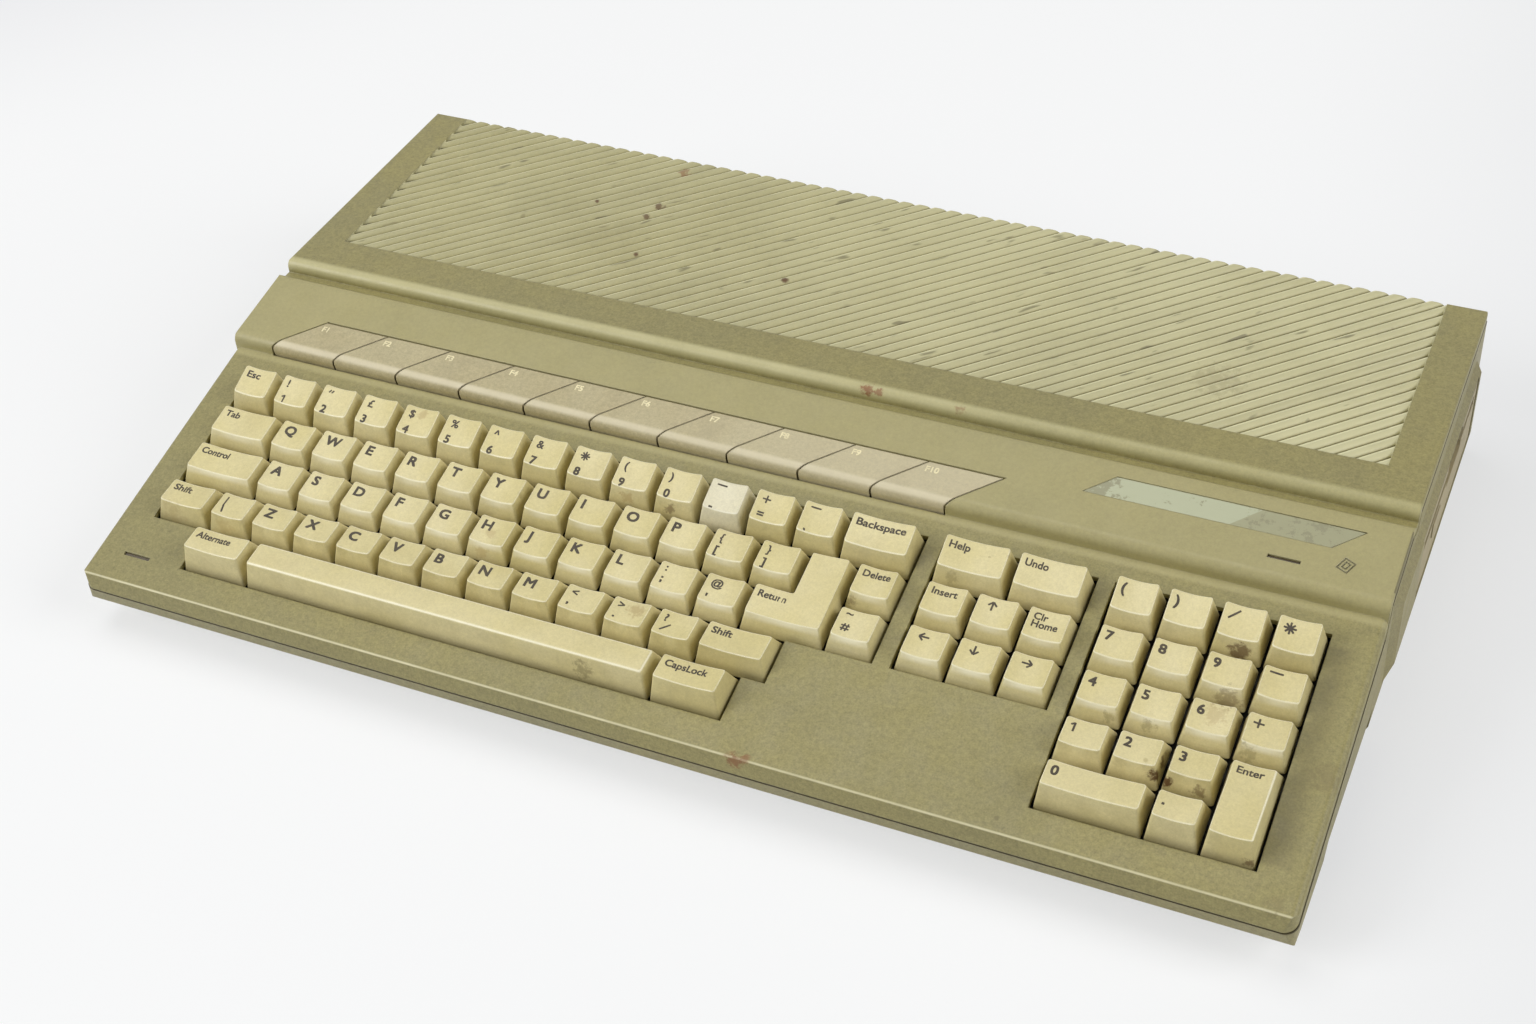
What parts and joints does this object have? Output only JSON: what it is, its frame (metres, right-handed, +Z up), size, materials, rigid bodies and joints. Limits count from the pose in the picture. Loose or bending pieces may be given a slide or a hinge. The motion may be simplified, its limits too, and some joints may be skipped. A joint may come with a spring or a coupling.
{
  "type": "vintage home computer",
  "caption": "Wedge-shaped all-in-one home computer with a sloping keyboard deck, slanted function keys, a ribbed rear block and a disk drive in its right side.",
  "frame": {"origin": "middle of the bounding box's bottom, on the surface under the rubber feet", "axes": "+X to the user's right along the keyboard, +Y from the keyboard to the rear sockets, +Z up"},
  "size_m": [0.4786, 0.289, 0.069],
  "materials": {
    "cover_plastic": "textured, aged",
    "tub_plastic": "textured, aged",
    "bezel_plastic": "textured, aged",
    "key_plastic": "fine texture",
    "function_key_plastic": "fine texture",
    "black_plastic": "smooth",
    "rubber": "matt",
    "steel_sheet": "plated",
    "screw_steel": "plated",
    "badge_metal": "satin",
    "lens_plastic": "clear-coloured",
    "circuit_board": "lacquered",
    "ribbon_grey": "flat cable",
    "plate_plastic": "moulded"
  },
  "bodies": {
    "case": {"top_cover": "cover_plastic", "bottom_case": "tub_plastic", "rubber_feet": "rubber", "case_screws": "screw_steel", "badge_plate": "badge_metal", "indicator_lenses": "lens_plastic", "key_plate": "plate_plastic", "keyboard_circuit_board": "circuit_board", "mainboard": "circuit_board", "mainboard_chips": "black_plastic", "shield_base": "steel_sheet", "shield_lid": "steel_sheet", "power_supply_board": "black_plastic", "power_supply_cage": "steel_sheet", "mains_inlet": "black_plastic", "rear_switch_bodies": "black_plastic", "d_sub_ports": "steel_sheet", "din_ports": "black_plastic", "tv_modulator": "steel_sheet", "cartridge_connector": "black_plastic", "joystick_ports": "steel_sheet", "drive_chassis": "steel_sheet", "drive_lid": "steel_sheet", "drive_bezel": "bezel_plastic", "drive_motor_board": "circuit_board", "ribbon_cables": "ribbon_grey"},
    "drive_flap_body": {"drive_flap": "black_plastic"},
    "eject_button_body": {"eject_button": "bezel_plastic"},
    "power_switch_rocker_body": {"power_switch_rocker": "black_plastic"},
    "reset_button_body": {"reset_button": "black_plastic"},
    "spindle_hub_body": {"spindle_hub": "steel_sheet"},
    "head_carriage_body": {"head_carriage": "black_plastic"},
    "lead_screw_body": {"lead_screw": "screw_steel"},
    "space_bar_body": {"space_bar": "key_plastic"},
    "return_key_body": {"return_key": "key_plastic"},
    "backspace_key_body": {"backspace_key": "key_plastic"},
    "tab_key_body": {"tab_key": "key_plastic"},
    "control_key_body": {"control_key": "key_plastic"},
    "left_shift_key_body": {"left_shift_key": "key_plastic"},
    "right_shift_key_body": {"right_shift_key": "key_plastic"},
    "alternate_key_body": {"alternate_key": "key_plastic"},
    "caps_lock_key_body": {"caps_lock_key": "key_plastic"},
    "keypad_enter_key_body": {"keypad_enter_key": "key_plastic"},
    "number_row_keys_body": {"number_row_keys": "key_plastic"},
    "upper_row_keys_body": {"upper_row_keys": "key_plastic"},
    "home_row_keys_body": {"home_row_keys": "key_plastic"},
    "lower_row_keys_body": {"lower_row_keys": "key_plastic"},
    "help_undo_keys_body": {"help_undo_keys": "key_plastic"},
    "cursor_keys_body": {"cursor_keys": "key_plastic"},
    "keypad_keys_body": {"keypad_keys": "key_plastic"},
    "f1_key_body": {"f1_key": "function_key_plastic"},
    "f2_key_body": {"f2_key": "function_key_plastic"},
    "f3_key_body": {"f3_key": "function_key_plastic"},
    "f4_key_body": {"f4_key": "function_key_plastic"},
    "f5_key_body": {"f5_key": "function_key_plastic"},
    "f6_key_body": {"f6_key": "function_key_plastic"},
    "f7_key_body": {"f7_key": "function_key_plastic"},
    "f8_key_body": {"f8_key": "function_key_plastic"},
    "f9_key_body": {"f9_key": "function_key_plastic"},
    "f10_key_body": {"f10_key": "function_key_plastic"}
  },
  "joints": [
    {"name": "flap_hinge", "type": "hinge", "parent": "case", "child": "drive_flap_body", "pos_m": [0.23405, 0.0708, 0.0492], "axis": [0, 1, 0], "range_deg": [0, 90], "stiffness_Nm_per_rad": 0.0005, "springref_deg": -11.46},
    {"name": "eject_push", "type": "slide", "parent": "case", "child": "eject_button_body", "axis": [-1, 0, 0], "range_m": [0, 0.004], "stiffness_N_per_m": 150, "springref_m": -0.0015},
    {"name": "power_rocker_hinge", "type": "hinge", "parent": "case", "child": "power_switch_rocker_body", "pos_m": [-0.19725, 0.1403, 0.023], "axis": [1, 0, 0], "range_deg": [0, 18]},
    {"name": "reset_push", "type": "slide", "parent": "case", "child": "reset_button_body", "axis": [0, -1, 0], "range_m": [0, 0.002], "stiffness_N_per_m": 200, "springref_m": -0.001},
    {"name": "spindle_turn", "type": "hinge", "parent": "case", "child": "spindle_hub_body", "pos_m": [0.18485, 0.0708, 0.036], "axis": [0, 0, 1], "continuous": true},
    {"name": "head_travel", "type": "slide", "parent": "case", "child": "head_carriage_body", "axis": [1, 0, 0], "range_m": [0, 0.0148]},
    {"name": "lead_screw_turn", "type": "hinge", "parent": "case", "child": "lead_screw_body", "pos_m": [0.125, 0.0828, 0.0392], "axis": [1, 0, 0], "range_deg": [0, 1421]},
    {"name": "space_bar_press", "type": "slide", "parent": "case", "child": "space_bar_body", "axis": [0, -0.2164, 0.9763], "range_m": [-0.0038, 0], "stiffness_N_per_m": 120, "springref_m": 0.0015},
    {"name": "return_key_press", "type": "slide", "parent": "case", "child": "return_key_body", "axis": [0, -0.2164, 0.9763], "range_m": [-0.0038, 0], "stiffness_N_per_m": 120, "springref_m": 0.0015},
    {"name": "backspace_key_press", "type": "slide", "parent": "case", "child": "backspace_key_body", "axis": [0, -0.2164, 0.9763], "range_m": [-0.0038, 0], "stiffness_N_per_m": 120, "springref_m": 0.0015},
    {"name": "tab_key_press", "type": "slide", "parent": "case", "child": "tab_key_body", "axis": [0, -0.2164, 0.9763], "range_m": [-0.0038, 0], "stiffness_N_per_m": 120, "springref_m": 0.0015},
    {"name": "control_key_press", "type": "slide", "parent": "case", "child": "control_key_body", "axis": [0, -0.2164, 0.9763], "range_m": [-0.0038, 0], "stiffness_N_per_m": 120, "springref_m": 0.0015},
    {"name": "left_shift_key_press", "type": "slide", "parent": "case", "child": "left_shift_key_body", "axis": [0, -0.2164, 0.9763], "range_m": [-0.0038, 0], "stiffness_N_per_m": 120, "springref_m": 0.0015},
    {"name": "right_shift_key_press", "type": "slide", "parent": "case", "child": "right_shift_key_body", "axis": [0, -0.2164, 0.9763], "range_m": [-0.0038, 0], "stiffness_N_per_m": 120, "springref_m": 0.0015},
    {"name": "alternate_key_press", "type": "slide", "parent": "case", "child": "alternate_key_body", "axis": [0, -0.2164, 0.9763], "range_m": [-0.0038, 0], "stiffness_N_per_m": 120, "springref_m": 0.0015},
    {"name": "caps_lock_key_press", "type": "slide", "parent": "case", "child": "caps_lock_key_body", "axis": [0, -0.2164, 0.9763], "range_m": [-0.0038, 0], "stiffness_N_per_m": 120, "springref_m": 0.0015},
    {"name": "keypad_enter_key_press", "type": "slide", "parent": "case", "child": "keypad_enter_key_body", "axis": [0, -0.2164, 0.9763], "range_m": [-0.0038, 0], "stiffness_N_per_m": 120, "springref_m": 0.0015},
    {"name": "number_row_keys_press", "type": "slide", "parent": "case", "child": "number_row_keys_body", "axis": [0, -0.2164, 0.9763], "range_m": [-0.0038, 0], "stiffness_N_per_m": 400, "springref_m": 0.0015},
    {"name": "upper_row_keys_press", "type": "slide", "parent": "case", "child": "upper_row_keys_body", "axis": [0, -0.2164, 0.9763], "range_m": [-0.0038, 0], "stiffness_N_per_m": 400, "springref_m": 0.0015},
    {"name": "home_row_keys_press", "type": "slide", "parent": "case", "child": "home_row_keys_body", "axis": [0, -0.2164, 0.9763], "range_m": [-0.0038, 0], "stiffness_N_per_m": 400, "springref_m": 0.0015},
    {"name": "lower_row_keys_press", "type": "slide", "parent": "case", "child": "lower_row_keys_body", "axis": [0, -0.2164, 0.9763], "range_m": [-0.0038, 0], "stiffness_N_per_m": 400, "springref_m": 0.0015},
    {"name": "help_undo_keys_press", "type": "slide", "parent": "case", "child": "help_undo_keys_body", "axis": [0, -0.2164, 0.9763], "range_m": [-0.0038, 0], "stiffness_N_per_m": 400, "springref_m": 0.0015},
    {"name": "cursor_keys_press", "type": "slide", "parent": "case", "child": "cursor_keys_body", "axis": [0, -0.2164, 0.9763], "range_m": [-0.0038, 0], "stiffness_N_per_m": 400, "springref_m": 0.0015},
    {"name": "keypad_keys_press", "type": "slide", "parent": "case", "child": "keypad_keys_body", "axis": [0, -0.2164, 0.9763], "range_m": [-0.0038, 0], "stiffness_N_per_m": 400, "springref_m": 0.0015},
    {"name": "f1_key_press", "type": "slide", "parent": "case", "child": "f1_key_body", "axis": [0, -0.2164, 0.9763], "range_m": [-0.003, 0], "stiffness_N_per_m": 150, "springref_m": 0.0015},
    {"name": "f2_key_press", "type": "slide", "parent": "case", "child": "f2_key_body", "axis": [0, -0.2164, 0.9763], "range_m": [-0.003, 0], "stiffness_N_per_m": 150, "springref_m": 0.0015},
    {"name": "f3_key_press", "type": "slide", "parent": "case", "child": "f3_key_body", "axis": [0, -0.2164, 0.9763], "range_m": [-0.003, 0], "stiffness_N_per_m": 150, "springref_m": 0.0015},
    {"name": "f4_key_press", "type": "slide", "parent": "case", "child": "f4_key_body", "axis": [0, -0.2164, 0.9763], "range_m": [-0.003, 0], "stiffness_N_per_m": 150, "springref_m": 0.0015},
    {"name": "f5_key_press", "type": "slide", "parent": "case", "child": "f5_key_body", "axis": [0, -0.2164, 0.9763], "range_m": [-0.003, 0], "stiffness_N_per_m": 150, "springref_m": 0.0015},
    {"name": "f6_key_press", "type": "slide", "parent": "case", "child": "f6_key_body", "axis": [0, -0.2164, 0.9763], "range_m": [-0.003, 0], "stiffness_N_per_m": 150, "springref_m": 0.0015},
    {"name": "f7_key_press", "type": "slide", "parent": "case", "child": "f7_key_body", "axis": [0, -0.2164, 0.9763], "range_m": [-0.003, 0], "stiffness_N_per_m": 150, "springref_m": 0.0015},
    {"name": "f8_key_press", "type": "slide", "parent": "case", "child": "f8_key_body", "axis": [0, -0.2164, 0.9763], "range_m": [-0.003, 0], "stiffness_N_per_m": 150, "springref_m": 0.0015},
    {"name": "f9_key_press", "type": "slide", "parent": "case", "child": "f9_key_body", "axis": [0, -0.2164, 0.9763], "range_m": [-0.003, 0], "stiffness_N_per_m": 150, "springref_m": 0.0015},
    {"name": "f10_key_press", "type": "slide", "parent": "case", "child": "f10_key_body", "axis": [0, -0.2164, 0.9763], "range_m": [-0.003, 0], "stiffness_N_per_m": 150, "springref_m": 0.0015}
  ],
  "couplings": [
    {"joint": "lead_screw_turn", "follows": "head_travel", "rad_per_m": 1675.5}
  ]
}
